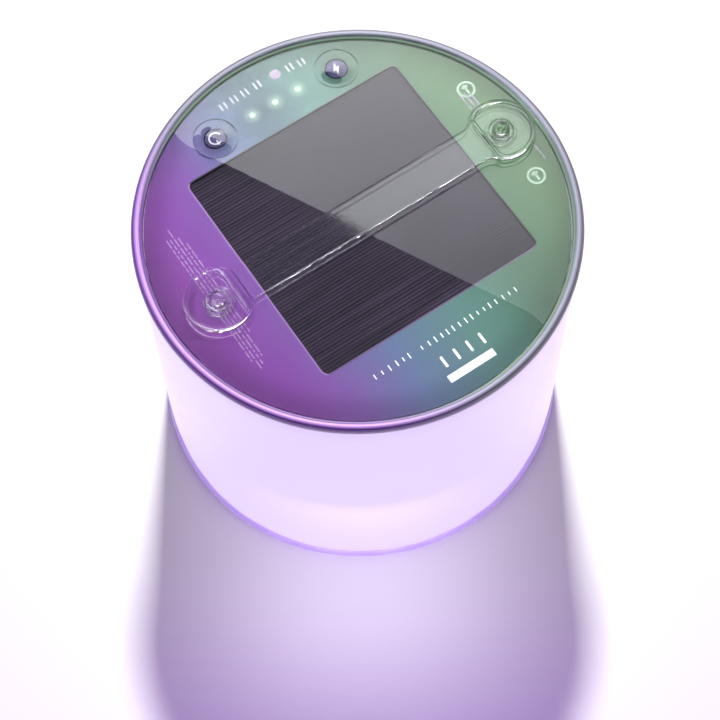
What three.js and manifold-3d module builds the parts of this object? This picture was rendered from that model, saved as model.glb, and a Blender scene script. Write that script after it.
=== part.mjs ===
// An inflatable solar lantern that floats on a pool: a drum of frosted PVC film, blown up through a valve in
// its base. Its round solar module is welded under a clear top film, and a clear strap snaps across the top.
// Millimetres, +Z up. The origin is the centre of the base, on the plane the lantern stands on, and the
// strap runs along X. The buttons are on the +Y side.

import * as THREE from "three";
import { mergeVertices } from "three/addons/utils/BufferGeometryUtils.js";
import Module from "manifold-3d";

// ---- Driving dimensions ----

const gap = 0.2; // between pieces that are glued or welded face to face
const film = 0.5; // thickness of the PVC film

const drum = {
  radius: 63.5, // to the outside of the two weld beads
  height: 108, // to the top of the upper bead
  wallRadius: 62.9,
};
const bead = { width: 3.2, height: 2.8, round: 1.1 };
const bottomFilmZ = 2; // the base film is held clear of the ground by the lower bead
const topFilmZ = drum.height - 1.5; // underside of the top film

const valve = { bore: 4.6, tube: 6, length: 7.4, outerZ: 1.2, flange: 14, flangeThickness: 0.8 };
const flap = { radius: 5.6, thickness: 0.5, clearance: 0.05 };
const plug = { cap: 6.6, capZ: 0.3, capThickness: 0.8, stem: 4.4, stemTip: 3.7, stemTopZ: 5.6 };
const tether = { width: 4, hingeX: 9.7, thickness: 0.6 };

// The module and what is printed and fixed over it sit a little off the drum's axis.
const moduleShift = { x: 2.2, y: 0.6 };
const cover = { radius: 56.8, topZ: 105.4, thickness: 2.4, wall: 1.4, skirtZ: 98.6 };
const tray = { bottomZ: 93.5, thickness: 1.4, spigotTopZ: 100.2, spigotWall: 1.2 };
const panel = { side: 71.2, corner: 2.2, baseZ: 104.2, backplate: 0.8, cells: 1 };
const board = { radius: 53, bottomZ: 97.2, thickness: 1.2 };
const reflector = { radius: 52.5, bottomZ: 96.5, thickness: 0.3 };
const screw = { ring: 48, shank: 1.1, head: 2.1, headHeight: 1.2, post: 3.2, topZ: 102.2 };
const screwAngles = [20, 160, 200, 340];

const colourLed = { count: 8, ring: 44, side: 5, height: 1.6, window: 2 };
const levelLed = { radius: 1.5, flange: 1.9, height: 4.1, pitch: 7.8, y: 45.2 };
const button = { x: 20.8, y: 44.6, radius: 3.1, flange: 4.2, clearance: 0.4, topZ: 106.9 };
const membrane = { radius: 4.3, rise: 1.2 };
const tactSwitch = { side: 6, height: 2.3, plunger: 1.6, plungerHeight: 0.4 };

const cell = { x: 60, y: 50, thickness: 3.6, baseZ: 99 };
const pad = { x: 44, y: 36, thickness: 0.4 };
const lead = { radius: 0.5, sides: 8 };

const strap = {
  reach: 47.6, // from the middle of the strap to each snap
  width: 11.5,
  thickness: 1,
  headRadius: 10,
  flat: 5.8, // from a snap to the straight side of its head
  shoulder: 3.5,
  lowZ: 108.1,
  rise: 0.4, // how much higher it runs over the panel
  lip: 0.8,
  lipWidth: 1.2,
  hole: 2.5,
  collar: 3.6,
  collarHeight: 0.5,
};
const post = { flange: 5, flangeThickness: 0.7, stem: 2.2, topZ: 110, dimple: 1.1 };

const ringSides = 64; // facets of the drum's large rings
const smallSides = 24; // facets of small round pieces

// ---- Materials ----

const finish = (colour, roughness, metalness = 0) =>
  new THREE.MeshStandardMaterial({ color: colour, roughness, metalness });

const frostedFilm = finish(0xe8dcfb, 0.55);
const clearFilm = finish(0xeef2f6, 0.08);
const clearMoulding = finish(0xe6ebf2, 0.12);
const frostedCover = finish(0x8f7fb4, 0.45);
const clearLens = finish(0xe4e8ee, 0.2);
const cellBlack = finish(0x2b2833, 0.3);
const laminate = finish(0x3c3a44, 0.5);
const boardGreen = finish(0x1f5c3a, 0.5);
const whiteSheet = finish(0xf4f4f2, 0.6);
const ledWhite = finish(0xf7f5e8, 0.4);
const blackPlastic = finish(0x17171a, 0.5);
const buttonGrey = finish(0x44405a, 0.45);
const batterySilver = finish(0xb9bcc2, 0.35, 0.6);
const foamGrey = finish(0x5a5c60, 0.9);
const redWire = finish(0xb3211c, 0.5);
const blackWire = finish(0x1b1b1d, 0.5);
const steel = finish(0xc4c6c9, 0.3, 1);
const softPvc = finish(0xdfe4ea, 0.3);

// ---- Shapes ----

// A solid of revolution about Z, from a closed profile of radius and height.
function turned(profile, sides = smallSides) {
  return new THREE.LatheGeometry(profile, sides).rotateX(Math.PI / 2);
}

function circle(radius, x = 0, y = 0) {
  return new THREE.Shape().absarc(x, y, radius, 0, 2 * Math.PI);
}

function roundedRectangle(width, depth, corner) {
  const x = width / 2 - corner;
  const y = depth / 2 - corner;
  const shape = new THREE.Shape();
  shape.absarc(x, y, corner, 0, Math.PI / 2);
  shape.absarc(-x, y, corner, Math.PI / 2, Math.PI);
  shape.absarc(-x, -y, corner, Math.PI, 1.5 * Math.PI);
  shape.absarc(x, -y, corner, 1.5 * Math.PI, 2 * Math.PI);
  shape.closePath();
  return shape;
}

// A flat piece between two heights. A circle in its outline gets the given number of sides.
function plate(shape, lowZ, highZ, sides = smallSides) {
  const options = { depth: highZ - lowZ, bevelEnabled: false, curveSegments: sides / 2 };
  return new THREE.ExtrudeGeometry(shape, options).translate(0, 0, lowZ);
}

function disc(radius, lowZ, highZ, sides = smallSides) {
  return plate(circle(radius), lowZ, highZ, sides);
}

function ring(outer, inner, lowZ, highZ, sides = smallSides) {
  const shape = circle(outer);
  shape.holes.push(circle(inner));
  return plate(shape, lowZ, highZ, sides);
}

function block(width, depth, lowZ, highZ) {
  return new THREE.BoxGeometry(width, depth, highZ - lowZ).translate(0, 0, (lowZ + highZ) / 2);
}

function wire(points) {
  const path = new THREE.CatmullRomCurve3(points.map((p) => new THREE.Vector3(...p)));
  const section = circle(lead.radius);
  const options = { steps: 10, extrudePath: path, bevelEnabled: false, curveSegments: lead.sides / 2 };
  return new THREE.ExtrudeGeometry(section, options);
}

// ---- Booleans ----

const wasm = await Module();
wasm.setup();

function solid(geometry) {
  const bare = geometry.clone();
  bare.deleteAttribute("normal");
  bare.deleteAttribute("uv");
  const merged = mergeVertices(bare, 1e-4);
  const mesh = new wasm.Mesh({
    numProp: 3,
    vertProperties: merged.attributes.position.array,
    triVerts: new Uint32Array(merged.index.array),
  });
  return new wasm.Manifold(mesh);
}

function geometryOf(manifold) {
  const mesh = manifold.getMesh();
  const geometry = new THREE.BufferGeometry();
  geometry.setAttribute("position", new THREE.BufferAttribute(mesh.vertProperties, 3));
  geometry.setIndex(new THREE.BufferAttribute(mesh.triVerts, 1));
  geometry.computeVertexNormals();
  return geometry;
}

const joined = (...geometries) => geometryOf(geometries.map(solid).reduce((a, b) => a.add(b)));
const cut = (body, ...tools) => geometryOf(tools.map(solid).reduce((a, b) => a.subtract(b), solid(body)));

// ---- Assembly helpers ----

const lantern = new THREE.Group();
const moduleGroup = new THREE.Group();
moduleGroup.position.set(moduleShift.x, moduleShift.y, 0);
lantern.add(moduleGroup);

function place(group, name, geometry, material, x = 0, y = 0) {
  const mesh = new THREE.Mesh(geometry, material);
  mesh.name = name;
  mesh.position.set(x, y, 0);
  group.add(mesh);
  return mesh;
}

const onRing = (radius, degrees) => {
  const turn = THREE.MathUtils.degToRad(degrees);
  return [radius * Math.cos(turn), radius * Math.sin(turn)];
};

// ---- Drum: side wall, base film and upper bead ----

const beadInner = drum.radius - bead.width;

// The frosted wall, with the bead where it is welded to the base film. The lantern stands on this bead.
function sideWall() {
  const { round, height } = bead;
  const wallInner = drum.wallRadius - film;
  const wallTop = drum.height - height - gap;
  const inX = beadInner + round;
  const outX = drum.radius - round;
  const meet = Math.acos((drum.wallRadius - outX) / round);
  const profile = new THREE.Path();
  profile.moveTo(wallInner, wallTop);
  profile.lineTo(wallInner, height);
  profile.absarc(inX, height - round, round, Math.PI / 2, Math.PI);
  profile.absarc(inX, round, round, Math.PI, 1.5 * Math.PI);
  profile.absarc(outX, round, round, -Math.PI / 2, 0);
  profile.absarc(outX, height - round, round, 0, meet);
  profile.lineTo(drum.wallRadius, wallTop);
  profile.lineTo(wallInner, wallTop);
  return turned(profile.getPoints(1.5), ringSides);
}

// The upper bead, where the wall, the top film and the pocket film are welded together.
function topRim() {
  const section = roundedRectangle(bead.width, bead.height, bead.round);
  const profile = section.getPoints(1.5).map(
    (p) => new THREE.Vector2(p.x + drum.radius - bead.width / 2, p.y + drum.height - bead.height / 2),
  );
  return turned(profile, ringSides);
}

function bottomFilm() {
  return ring(beadInner - 0.3, valve.tube + 0.6, bottomFilmZ, bottomFilmZ + film, ringSides);
}

// ---- Valve ----

function valveFlange() {
  const lowZ = bottomFilmZ + film + gap;
  return ring(valve.flange, valve.tube + 0.4, lowZ, lowZ + valve.flangeThickness);
}

// The tube that is blown into, with the lug that its plug's tether hinges on.
function valveTube() {
  const lug = block(tether.hingeX - valve.bore - 0.5, tether.width, valve.outerZ, valve.outerZ + tether.thickness);
  lug.translate((tether.hingeX + valve.bore + 0.5) / 2 - 0.3, 0, 0);
  return joined(ring(valve.tube, valve.bore, valve.outerZ, valve.outerZ + valve.length), lug);
}

// A disc that lies over the inner end of the tube. It lifts as air comes in and falls shut after.
function valveFlap() {
  const lowZ = valve.outerZ + valve.length + flap.clearance;
  return disc(flap.radius, lowZ, lowZ + flap.thickness);
}

// Cap, tapered stopper and tether in one moulding.
function valvePlug() {
  const capTop = plug.capZ + plug.capThickness;
  const stopper = turned([
    new THREE.Vector2(0, capTop - gap),
    new THREE.Vector2(plug.stem, capTop - gap),
    new THREE.Vector2(plug.stem, capTop + gap),
    new THREE.Vector2(plug.stemTip, plug.stemTopZ),
    new THREE.Vector2(0, plug.stemTopZ),
  ]);
  const strip = block(tether.hingeX - plug.cap + 0.4, tether.width, plug.capZ, capTop);
  strip.translate((tether.hingeX + plug.cap) / 2 - 0.5, 0, 0);
  const pull = block(3, tether.width, plug.capZ, capTop).translate(-plug.cap - 1, 0, 0);
  return joined(disc(plug.cap, plug.capZ, capTop), stopper, strip, pull);
}

// ---- Films over and under the module ----

function topFilm() {
  const outline = circle(beadInner - 0.3);
  for (const side of [-1, 1]) {
    const hole = circle(membrane.radius + 0.3, moduleShift.x + side * button.x, moduleShift.y + button.y);
    outline.holes.push(hole);
  }
  return plate(outline, topFilmZ, topFilmZ + film, ringSides);
}

// The dish of clear film that shuts the module off from the air in the drum.
function pocketFilm() {
  const outer = beadInner - 0.1;
  const thickness = 0.4;
  const bottomZ = tray.bottomZ - 0.3 - thickness;
  const lipZ = drum.height - bead.height - gap;
  const corner = 1;
  const profile = new THREE.Path();
  profile.moveTo(0, bottomZ);
  profile.lineTo(outer - corner, bottomZ);
  profile.absarc(outer - corner, bottomZ + corner, corner, -Math.PI / 2, 0);
  profile.lineTo(outer, lipZ - thickness);
  profile.lineTo(drum.wallRadius - film - 0.3, lipZ - thickness);
  profile.lineTo(drum.wallRadius - film - 0.3, lipZ);
  profile.lineTo(outer - thickness, lipZ);
  profile.absarc(outer - corner, bottomZ + corner, corner - thickness, 0, -Math.PI / 2, true);
  profile.lineTo(0, bottomZ + thickness);
  return turned(profile.getPoints(1.5), ringSides);
}

// A shallow dome of the top film over a button, which gives when it is pressed.
function buttonMembrane() {
  const { radius, rise } = membrane;
  const bend = (radius * radius + rise * rise) / (2 * rise); // radius of the dome's curve
  const sweep = Math.asin(radius / bend);
  const centreZ = topFilmZ + rise - bend;
  const profile = new THREE.Path();
  profile.absarc(0, centreZ, bend, Math.PI / 2 - sweep, Math.PI / 2);
  profile.lineTo(0, topFilmZ + film + rise);
  profile.absarc(0, centreZ + film, bend, Math.PI / 2, Math.PI / 2 - sweep, true);
  profile.lineTo(radius, topFilmZ);
  return turned(profile.getPoints(3).reverse());
}

// ---- Module housing ----

// The frosted upper half: a seat for the panel, holes for the buttons and leads, and four screw bosses.
function moduleCover() {
  const plateZ = cover.topZ - cover.thickness;
  const shell = joined(
    disc(cover.radius, plateZ, cover.topZ, ringSides),
    ring(cover.radius, cover.radius - cover.wall, cover.skirtZ, plateZ + gap, ringSides),
    ...screwAngles.map((a) => {
      const [x, y] = onRing(screw.ring, a);
      return disc(screw.post, board.bottomZ + board.thickness + gap, plateZ + gap).translate(x, y, 0);
    }),
  );
  const seatSide = panel.side + 0.8;
  const seat = plate(roundedRectangle(seatSide, seatSide, panel.corner), panel.baseZ - gap, cover.topZ + 1);
  const buttonHoles = [-1, 1].map((side) =>
    disc(button.radius + button.clearance, plateZ - 1, cover.topZ + 1).translate(side * button.x, button.y, 0),
  );
  const leadHoles = [-1, 1].map((side) =>
    disc(1.2, plateZ - 1, panel.baseZ).translate(side * 8, leadY, 0),
  );
  const screwHoles = screwAngles.map((a) => {
    const [x, y] = onRing(screw.ring, a);
    return disc(screw.shank + 0.3, cover.skirtZ - 1, screw.topZ + 0.4).translate(x, y, 0);
  });
  return cut(shell, seat, ...buttonHoles, ...leadHoles, ...screwHoles);
}

// The clear lower half, which the light shines through, with a spigot that locates it inside the cover.
function lensTray() {
  const plateTop = tray.bottomZ + tray.thickness;
  const spigot = cover.radius - cover.wall - 0.3;
  const shell = joined(
    disc(cover.radius, tray.bottomZ, plateTop, ringSides),
    ring(cover.radius, spigot - tray.spigotWall, plateTop - gap, cover.skirtZ - gap, ringSides),
    ring(spigot, spigot - tray.spigotWall, plateTop - gap, tray.spigotTopZ, ringSides),
    ...screwAngles.map((a) => {
      const [x, y] = onRing(screw.ring, a);
      return disc(screw.post, plateTop - gap, board.bottomZ - gap).translate(x, y, 0);
    }),
  );
  const holes = screwAngles.flatMap((a) => {
    const [x, y] = onRing(screw.ring, a);
    return [
      disc(screw.shank + 0.3, tray.bottomZ - 1, board.bottomZ).translate(x, y, 0),
      disc(screw.head + 0.3, tray.bottomZ - 1, tray.bottomZ + screw.headHeight + 0.3).translate(x, y, 0),
    ];
  });
  return cut(shell, ...holes);
}

function housingScrew() {
  const headZ = tray.bottomZ + 0.2;
  const underHead = headZ + screw.headHeight;
  const body = joined(
    disc(screw.head, headZ, underHead, 16),
    disc(screw.shank, underHead - gap, screw.topZ, 12),
  );
  const slot = block(0.5, 2.6, headZ - 1, headZ + 0.6);
  const crossSlot = block(2.6, 0.5, headZ - 1, headZ + 0.6);
  return cut(body, slot, crossSlot);
}

// ---- Solar panel ----

const leadY = -31;

function panelBackplate() {
  const outline = roundedRectangle(panel.side, panel.side, panel.corner);
  return plate(outline, panel.baseZ, panel.baseZ + panel.backplate, 12);
}

function panelCells() {
  const side = panel.side - 0.6;
  const lowZ = panel.baseZ + panel.backplate + 0.1;
  return plate(roundedRectangle(side, side, panel.corner - 0.3), lowZ, lowZ + panel.cells, 12);
}

// ---- Circuit board, lamps and switches ----

const boardTop = board.bottomZ + board.thickness;

function circuitBoard() {
  const outline = circle(board.radius);
  for (const a of screwAngles) outline.holes.push(circle(screw.shank + 0.3, ...onRing(screw.ring, a)));
  return plate(outline, board.bottomZ, boardTop, ringSides);
}

// A white sheet round the lamps that throws their light down.
function reflectorSheet() {
  const outline = circle(reflector.radius);
  for (const a of screwAngles) outline.holes.push(circle(screw.post + 0.3, ...onRing(screw.ring, a)));
  for (let i = 0; i < colourLed.count; i++) {
    const at = onRing(colourLed.ring, (360 / colourLed.count) * i);
    outline.holes.push(circle(colourLed.side * 0.78, ...at));
  }
  return plate(outline, reflector.bottomZ, reflector.bottomZ + reflector.thickness, smallSides);
}

// A square surface-mount lamp that shines down through a round window.
function downLamp() {
  const topZ = board.bottomZ - gap;
  const body = block(colourLed.side, colourLed.side, topZ - colourLed.height, topZ);
  return cut(body, disc(colourLed.window, topZ - colourLed.height - 1, topZ - colourLed.height + 0.4, 16));
}

// A 3 mm lamp of the battery gauge, just under the cover.
function gaugeLamp() {
  const baseZ = boardTop + gap;
  const { radius, flange, height } = levelLed;
  const profile = new THREE.Path();
  profile.moveTo(0, baseZ);
  profile.lineTo(flange, baseZ);
  profile.lineTo(flange, baseZ + 0.8);
  profile.lineTo(radius, baseZ + 0.8);
  profile.absarc(0, baseZ + height - radius, radius, 0, Math.PI / 2);
  return turned(profile.getPoints(3), 16);
}

function tactileSwitch() {
  const baseZ = boardTop + gap;
  const topZ = baseZ + tactSwitch.height;
  const plunger = disc(tactSwitch.plunger, topZ - gap, topZ + tactSwitch.plungerHeight, 16);
  return joined(block(tactSwitch.side, tactSwitch.side, baseZ, topZ), plunger);
}

// The cap between a switch and the dome of film over it. Its flange keeps it in the cover.
function buttonCap() {
  const coverUnder = cover.topZ - cover.thickness;
  const profile = new THREE.Path();
  const edge = 0.6;
  profile.moveTo(0, coverUnder - 1.1);
  profile.lineTo(button.flange, coverUnder - 1.1);
  profile.lineTo(button.flange, coverUnder - gap);
  profile.lineTo(button.radius, coverUnder - gap);
  profile.absarc(button.radius - edge, button.topZ - edge, edge, 0, Math.PI / 2);
  profile.lineTo(0, button.topZ);
  return turned(profile.getPoints(2));
}

function batteryCell() {
  const outline = roundedRectangle(cell.x, cell.y, 3);
  return plate(outline, cell.baseZ, cell.baseZ + cell.thickness, 12);
}

function batteryPad() {
  return block(pad.x, pad.y, cell.baseZ - 0.1 - pad.thickness, cell.baseZ - 0.1);
}

function batteryLead(x) {
  const edge = -cell.y / 2 - gap;
  const midZ = cell.baseZ + cell.thickness / 2;
  const endZ = boardTop + gap;
  return wire([[x, edge, midZ], [x, edge - 1.6, midZ - 0.2], [x, edge - 3, endZ + 0.9], [x, edge - 3.4, endZ]]);
}

function solarLead(x) {
  const endZ = boardTop + gap;
  return wire([[x, leadY, panel.baseZ - gap], [x, leadY, 101.8], [x, leadY - 1.2, 100.2], [x, leadY - 1.6, endZ]]);
}

// ---- Strap and its snaps ----

const bandTop = strap.lowZ + strap.rise + strap.thickness;
const floorTop = strap.lowZ + strap.thickness;
const flatX = strap.reach - strap.flat;
const creaseX = -flatX + strap.shoulder * 0.5; // the line that the strap lifts about
const creaseGap = 0.15; // on each side of it

// A circle round the snap at x, cut off by a straight side towards the middle of the strap.
function headOutline(x, radius, flat) {
  const sweep = Math.acos(-flat / radius);
  const outline = new THREE.Shape();
  outline.absarc(x, 0, radius, -sweep, sweep);
  outline.closePath();
  return outline;
}

// The end of the strap at +X: a thin floor inside a raised lip, with a collared hole for the snap post.
function strapHead() {
  const { reach, headRadius, flat, lipWidth, hole, collar } = strap;
  const lip = headOutline(reach, headRadius, flat);
  lip.holes.push(headOutline(reach, headRadius - lipWidth, flat - lipWidth));
  const body = joined(
    plate(headOutline(reach, headRadius, flat), strap.lowZ, floorTop, 32),
    plate(lip, floorTop - gap, floorTop + strap.lip, 32),
    disc(collar, floorTop - gap, floorTop + strap.collarHeight, 20).translate(reach, 0, 0),
  );
  return cut(body, disc(hole, strap.lowZ - 1, floorTop + 2, 20).translate(reach, 0, 0));
}

// A flare at +X from the width of the band to the straight side of the head.
function strapShoulder() {
  const wide = Math.sqrt(strap.headRadius ** 2 - strap.flat ** 2);
  const narrow = strap.width / 2;
  const headX = flatX + 0.5;
  const bandX = flatX - strap.shoulder;
  const middleX = flatX - strap.shoulder * 0.4;
  const outline = new THREE.Shape();
  outline.moveTo(headX, wide);
  outline.quadraticCurveTo(middleX, narrow, bandX, narrow);
  outline.lineTo(bandX, -narrow);
  outline.quadraticCurveTo(middleX, -narrow, headX, -wide);
  outline.closePath();
  return plate(outline, strap.lowZ, bandTop, 8);
}

// The band steps up at each edge of the panel and runs level over it.
function strapBand() {
  const endX = flatX - strap.shoulder + gap;
  const stepX = flatX - strap.shoulder - 1.5;
  const levelX = stepX - 3;
  const side = new THREE.Shape();
  side.moveTo(-endX, strap.lowZ);
  side.lineTo(-stepX, strap.lowZ);
  side.lineTo(-levelX, strap.lowZ + strap.rise);
  side.lineTo(levelX, strap.lowZ + strap.rise);
  side.lineTo(stepX, strap.lowZ);
  side.lineTo(endX, strap.lowZ);
  side.lineTo(endX, bandTop);
  side.lineTo(-endX, bandTop);
  side.closePath();
  const options = { depth: strap.width, bevelEnabled: false };
  return new THREE.ExtrudeGeometry(side, options)
    .rotateX(Math.PI / 2)
    .translate(0, strap.width / 2, 0);
}

function wholeStrap() {
  const end = joined(strapShoulder(), strapHead());
  return joined(strapBand(), end, end.clone().rotateZ(Math.PI));
}

// All of the strap on one side of the crease: +1 is the part that lifts, -1 the end that stays.
function strapPart(side) {
  const length = 200;
  const away = block(length, 30, strap.lowZ - 1, bandTop + 3);
  away.translate(creaseX + side * (creaseGap - length / 2), 0, 0);
  return cut(wholeStrap(), away);
}

// A clear stud welded to the top film. Its tip is dimpled.
function strapPost() {
  const baseZ = topFilmZ + film + gap;
  const stud = joined(
    disc(post.flange, baseZ, baseZ + post.flangeThickness),
    disc(post.stem, baseZ, post.topZ, 20),
  );
  return cut(stud, disc(post.dimple, post.topZ - 0.6, post.topZ + 1, 12));
}

// ---- Assembly ----

place(lantern, "side_wall", sideWall(), frostedFilm);
place(lantern, "bottom_film", bottomFilm(), clearFilm);
place(lantern, "valve_flange", valveFlange(), softPvc);
place(lantern, "valve_tube", valveTube(), softPvc);
place(lantern, "valve_flap", valveFlap(), softPvc);
place(lantern, "valve_plug", valvePlug(), softPvc);

place(lantern, "top_rim", topRim(), clearMoulding);
place(lantern, "top_film", topFilm(), clearFilm);
place(lantern, "pocket_film", pocketFilm(), clearFilm);

place(moduleGroup, "module_cover", moduleCover(), frostedCover);
place(moduleGroup, "lens_tray", lensTray(), clearLens);
place(moduleGroup, "solar_backplate", panelBackplate(), laminate);
place(moduleGroup, "solar_cells", panelCells(), cellBlack);
place(moduleGroup, "circuit_board", circuitBoard(), boardGreen);
place(moduleGroup, "reflector_sheet", reflectorSheet(), whiteSheet);

for (let i = 0; i < colourLed.count; i++) {
  const at = onRing(colourLed.ring, (360 / colourLed.count) * i);
  place(moduleGroup, `colour_led_${i + 1}`, downLamp(), ledWhite, ...at);
}
for (let i = 0; i < 3; i++) {
  place(moduleGroup, `gauge_led_${i + 1}`, gaugeLamp(), ledWhite, (i - 1) * levelLed.pitch, levelLed.y);
}
screwAngles.forEach((a, i) => {
  place(moduleGroup, `housing_screw_${i + 1}`, housingScrew(), steel, ...onRing(screw.ring, a));
});

place(moduleGroup, "battery_cell", batteryCell(), batterySilver);
place(moduleGroup, "battery_pad", batteryPad(), foamGrey);
place(moduleGroup, "battery_lead_red", batteryLead(-3), redWire);
place(moduleGroup, "battery_lead_black", batteryLead(3), blackWire);
place(moduleGroup, "solar_lead_red", solarLead(-8), redWire);
place(moduleGroup, "solar_lead_black", solarLead(8), blackWire);
place(moduleGroup, "control_chip", block(6, 5, boardTop + gap, boardTop + 1.4), blackPlastic, 0, -40);
place(moduleGroup, "charge_chip", block(4, 4, boardTop + gap, boardTop + 1.2), blackPlastic, -12, -39);
place(moduleGroup, "driver_coil", disc(2.8, boardTop + gap, boardTop + 2.4, 16), blackPlastic, 12, -39);

for (const [name, side] of [["power", -1], ["level", 1]]) {
  const at = [side * button.x, button.y];
  place(moduleGroup, `${name}_switch`, tactileSwitch(), blackPlastic, ...at);
  place(moduleGroup, `${name}_button`, buttonCap(), buttonGrey, ...at);
  place(moduleGroup, `${name}_membrane`, buttonMembrane(), clearFilm, ...at);
}

place(moduleGroup, "strap_band", strapPart(1), clearMoulding);
place(moduleGroup, "strap_anchor_end", strapPart(-1), clearMoulding);
place(moduleGroup, "strap_post_fixed", strapPost(), clearMoulding, -strap.reach);
place(moduleGroup, "strap_post_free", strapPost(), clearMoulding, strap.reach);

export default lantern;
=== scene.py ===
import bpy
import bmesh
import math
import random
from mathutils import Matrix, Vector


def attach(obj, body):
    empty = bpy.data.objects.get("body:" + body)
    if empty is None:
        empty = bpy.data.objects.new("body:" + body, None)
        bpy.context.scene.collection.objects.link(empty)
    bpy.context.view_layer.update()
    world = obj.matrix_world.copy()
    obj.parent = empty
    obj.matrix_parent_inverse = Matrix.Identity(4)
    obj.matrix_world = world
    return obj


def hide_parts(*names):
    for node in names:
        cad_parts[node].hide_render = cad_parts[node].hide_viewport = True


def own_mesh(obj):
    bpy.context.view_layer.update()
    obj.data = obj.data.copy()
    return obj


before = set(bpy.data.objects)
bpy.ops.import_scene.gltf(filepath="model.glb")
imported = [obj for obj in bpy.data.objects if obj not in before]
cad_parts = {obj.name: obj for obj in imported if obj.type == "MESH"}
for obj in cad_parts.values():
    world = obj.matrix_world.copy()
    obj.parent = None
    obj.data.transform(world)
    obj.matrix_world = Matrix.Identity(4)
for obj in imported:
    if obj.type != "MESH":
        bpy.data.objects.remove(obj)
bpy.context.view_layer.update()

mm = 0.001
moduleX = 2.2 * mm  # the module and the strap sit a little off the drum's axis
moduleY = 0.6 * mm
random.seed(7)

# Camera

camera = {
    "height": 0.5964,
    "heading": math.radians(-32.9),
    "distance": 0.2554,  # along the floor, from the drum's axis
    "tilt": math.radians(90 - 64.78),
    "roll": math.radians(-1.2),
    "lens": 98.475,
    "shift": (0.00125, -0.0808),
}


def addCamera(settings):
    data = bpy.data.cameras.new("studioCamera")
    data.lens = settings["lens"]
    data.sensor_width = 36
    data.shift_x, data.shift_y = settings["shift"]
    data.clip_start = 0.01
    eye = bpy.data.objects.new("studioCamera", data)
    bpy.context.scene.collection.objects.link(eye)
    heading = settings["heading"]
    away = settings["distance"]
    eye.location = (away * math.sin(heading), -away * math.cos(heading), settings["height"])
    turn = Matrix.Rotation(heading, 4, "Z") @ Matrix.Rotation(settings["tilt"], 4, "X")
    eye.rotation_euler = (turn @ Matrix.Rotation(settings["roll"], 4, "Z")).to_euler()
    bpy.context.scene.camera = eye


addCamera(camera)
print("camera placed")

# Lights and floor

backLamp = {"place": (0.4155, 0.6426, 1.05), "aim": (0, 0, 0.05), "size": (0.11, 0.11), "power": 21.0,
            "colour": (1.0, 0.985, 0.97)}
# seen only in gloss: it draws the bright lines along rounded edges
frontCard = {"place": (-0.10, -0.95, 0.13), "aim": (0, 0, 0.11), "size": (1.7, 0.24), "power": 190.0,
             "colour": (1.0, 0.98, 1.0)}
violetWash = {"place": (-0.066, -0.102, 0.085), "aim": (-0.09, -0.14, 0.0), "size": (0.23, 0.03),
              "power": 0.046, "colour": (0.40, 0.02, 1.0)}
paleWash = {"place": (-0.043, -0.067, 0.05), "aim": (-0.046, -0.072, 0.0), "size": (0.07, 0.01),
            "power": 0.017, "colour": (0.92, 0.86, 1.0)}
overheadCard = {"height": 0.9, "edge": ((0.147, 0.489), (0.266, 0.256)), "before": 0.12, "after": 0.25,
                "depth": 0.55, "fadeFrom": 0.33, "fadeTo": 0.59, "dim": 0.9, "bright": 3.0,
                "colour": (0.97, 1.0, 0.99)}


def addAreaLight(name, settings):
    data = bpy.data.lights.new(name, "AREA")
    data.shape = "RECTANGLE"
    data.size, data.size_y = settings["size"]
    data.energy = settings["power"]
    data.color = settings["colour"]
    lamp = bpy.data.objects.new(name, data)
    bpy.context.scene.collection.objects.link(lamp)
    lamp.location = settings["place"]
    toAim = Vector(settings["aim"]) - Vector(settings["place"])
    lamp.rotation_euler = toAim.to_track_quat("-Z", "Y").to_euler()
    lamp.visible_camera = False
    lamp.visible_transmission = False
    return lamp


addAreaLight("backLamp", backLamp)
addAreaLight("violetWash", violetWash)
addAreaLight("paleWash", paleWash)
frontLight = addAreaLight("frontCard", frontCard)
frontLight.visible_diffuse = False
glossPieces = bpy.data.collections.new("glossPieces")  # the front card lights only these
frontLight.light_linking.receiver_collection = glossPieces

studio = {"ambient": 0.05, "backdrop": 0.95, "floorWhite": 0.9, "floorSize": 8.0}


def buildWorld(settings):
    world = bpy.data.worlds.new("studio")
    bpy.context.scene.world = world
    world.use_nodes = True
    nodes, links = world.node_tree.nodes, world.node_tree.links
    nodes.clear()
    output = nodes.new("ShaderNodeOutputWorld")
    background = nodes.new("ShaderNodeBackground")
    lightPath = nodes.new("ShaderNodeLightPath")
    level = nodes.new("ShaderNodeMapRange")  # what the camera sees is brighter than what lights the object
    level.inputs["To Min"].default_value = settings["ambient"]
    level.inputs["To Max"].default_value = settings["backdrop"]
    links.new(lightPath.outputs["Is Camera Ray"], level.inputs["Value"])
    links.new(level.outputs["Result"], background.inputs["Strength"])
    background.inputs["Color"].default_value = (1, 1, 1, 1)
    links.new(background.outputs[0], output.inputs["Surface"])


buildWorld(studio)

# Selection helpers


def deselectAll():
    if bpy.context.mode != "OBJECT":
        bpy.ops.object.mode_set(mode="OBJECT")
    bpy.ops.object.select_all(action="DESELECT")


def makeActive(piece):
    deselectAll()
    piece.select_set(True)
    bpy.context.view_layer.objects.active = piece


def editPiece(piece, selectMode="FACE"):
    makeActive(piece)
    bpy.ops.object.mode_set(mode="EDIT")
    bpy.ops.mesh.select_mode(type=selectMode)
    bpy.ops.mesh.select_all(action="DESELECT")


def pickEdges(test):
    mesh = bmesh.from_edit_mesh(bpy.context.object.data)
    for edge in mesh.edges:
        edge.select_set(test(edge.verts[0].co, edge.verts[1].co))
    bmesh.update_edit_mesh(bpy.context.object.data)


def leaveEdit():
    bpy.ops.object.mode_set(mode="OBJECT")


def smoothByAngle(piece, degrees=35):
    makeActive(piece)
    bpy.ops.object.shade_smooth_by_angle(angle=math.radians(degrees))


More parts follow.
